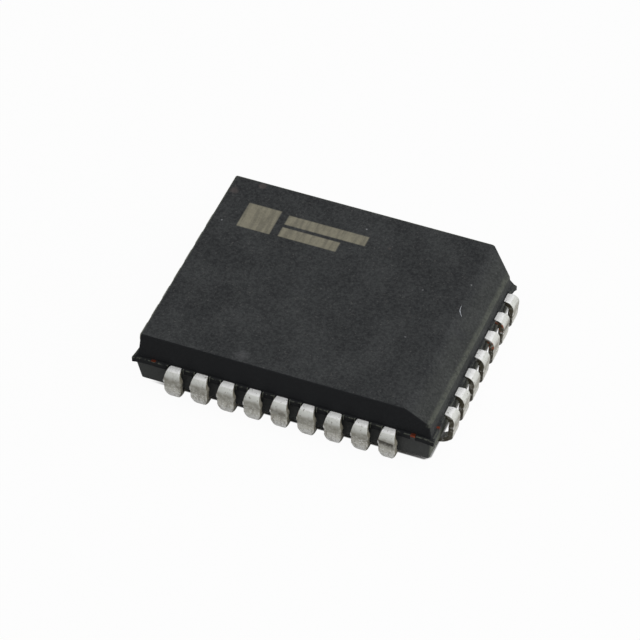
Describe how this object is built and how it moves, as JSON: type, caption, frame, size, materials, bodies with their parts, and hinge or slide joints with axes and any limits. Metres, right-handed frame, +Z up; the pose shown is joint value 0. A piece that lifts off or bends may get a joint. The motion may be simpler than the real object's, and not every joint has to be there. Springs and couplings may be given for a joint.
{
  "type": "plastic leaded chip carrier",
  "caption": "Rectangular moulded chip package with J-shaped leads on four sides, a sloped end with a round dimple, and one index corner.",
  "frame": {"origin": "on the seating plane that the leads stand on, under the middle of the moulding", "axes": "+Z up out of the board; +X towards the pin 1 end, which has the sloped edge and the dimple; +Y towards the long side next to the index corner"},
  "size_m": [0.015, 0.0124, 0.0032],
  "materials": {
    "mould_compound": "fine matte charcoal epoxy moulding compound",
    "tin_plate": "dull tin plate on copper alloy",
    "copper_alloy": "bare stamped copper alloy",
    "die_adhesive": "silver-filled epoxy",
    "silicon": "polished silicon"
  },
  "bodies": {
    "root": {"molded_body": "mould_compound", "lead_01": "tin_plate", "lead_02": "tin_plate", "lead_03": "tin_plate", "lead_04": "tin_plate", "lead_05": "tin_plate", "lead_06": "tin_plate", "lead_07": "tin_plate", "lead_08": "tin_plate", "lead_09": "tin_plate", "lead_10": "tin_plate", "lead_11": "tin_plate", "lead_12": "tin_plate", "lead_13": "tin_plate", "lead_14": "tin_plate", "lead_15": "tin_plate", "lead_16": "tin_plate", "lead_17": "tin_plate", "lead_18": "tin_plate", "lead_19": "tin_plate", "lead_20": "tin_plate", "lead_21": "tin_plate", "lead_22": "tin_plate", "lead_23": "tin_plate", "lead_24": "tin_plate", "lead_25": "tin_plate", "lead_26": "tin_plate", "lead_27": "tin_plate", "lead_28": "tin_plate", "lead_29": "tin_plate", "lead_30": "tin_plate", "lead_31": "tin_plate", "lead_32": "tin_plate", "die_paddle": "copper_alloy", "die_attach": "die_adhesive", "silicon_die": "silicon"}
  },
  "joints": []
}
